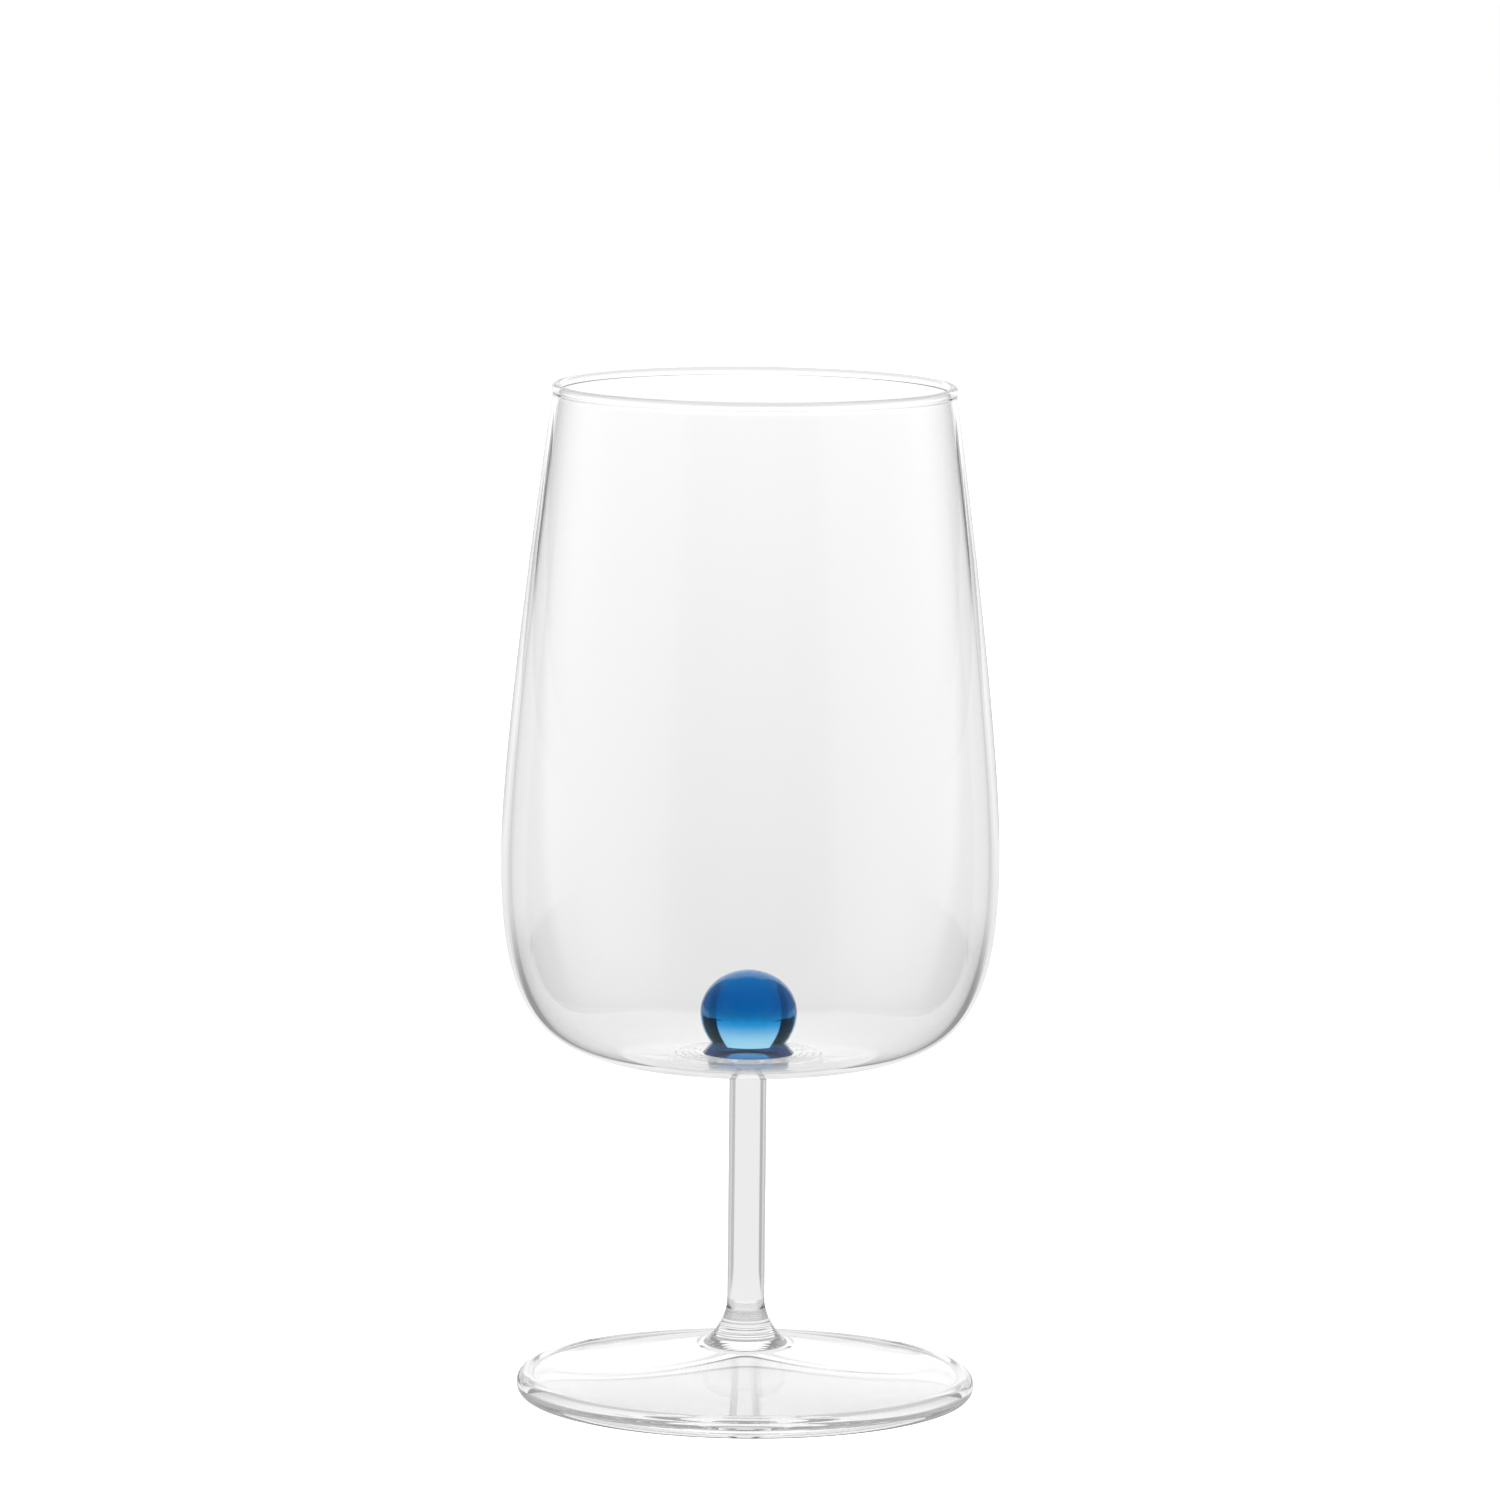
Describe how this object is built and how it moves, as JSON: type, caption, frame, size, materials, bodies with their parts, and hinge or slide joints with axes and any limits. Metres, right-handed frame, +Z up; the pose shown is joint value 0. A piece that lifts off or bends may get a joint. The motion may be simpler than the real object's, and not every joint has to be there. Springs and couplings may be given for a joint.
{
  "type": "goblet",
  "caption": "Stemmed water goblet of clear glass with a tall bowl, a solid rod stem, a shallow cone foot and a ball of blue glass fused to the bowl's floor.",
  "frame": {"origin": "centre of the foot, on the plane that it stands on", "axes": "+Z up the stem and out of the bowl's mouth, X and Y across the foot"},
  "size_m": [0.0832, 0.0832, 0.17],
  "materials": {
    "clear_glass": "clear flame-worked borosilicate, fire-polished",
    "blue_glass": "solid blue transparent glass, fire-polished"
  },
  "bodies": {
    "root": {"clear_goblet": "clear_glass", "blue_ball": "blue_glass"}
  },
  "joints": []
}
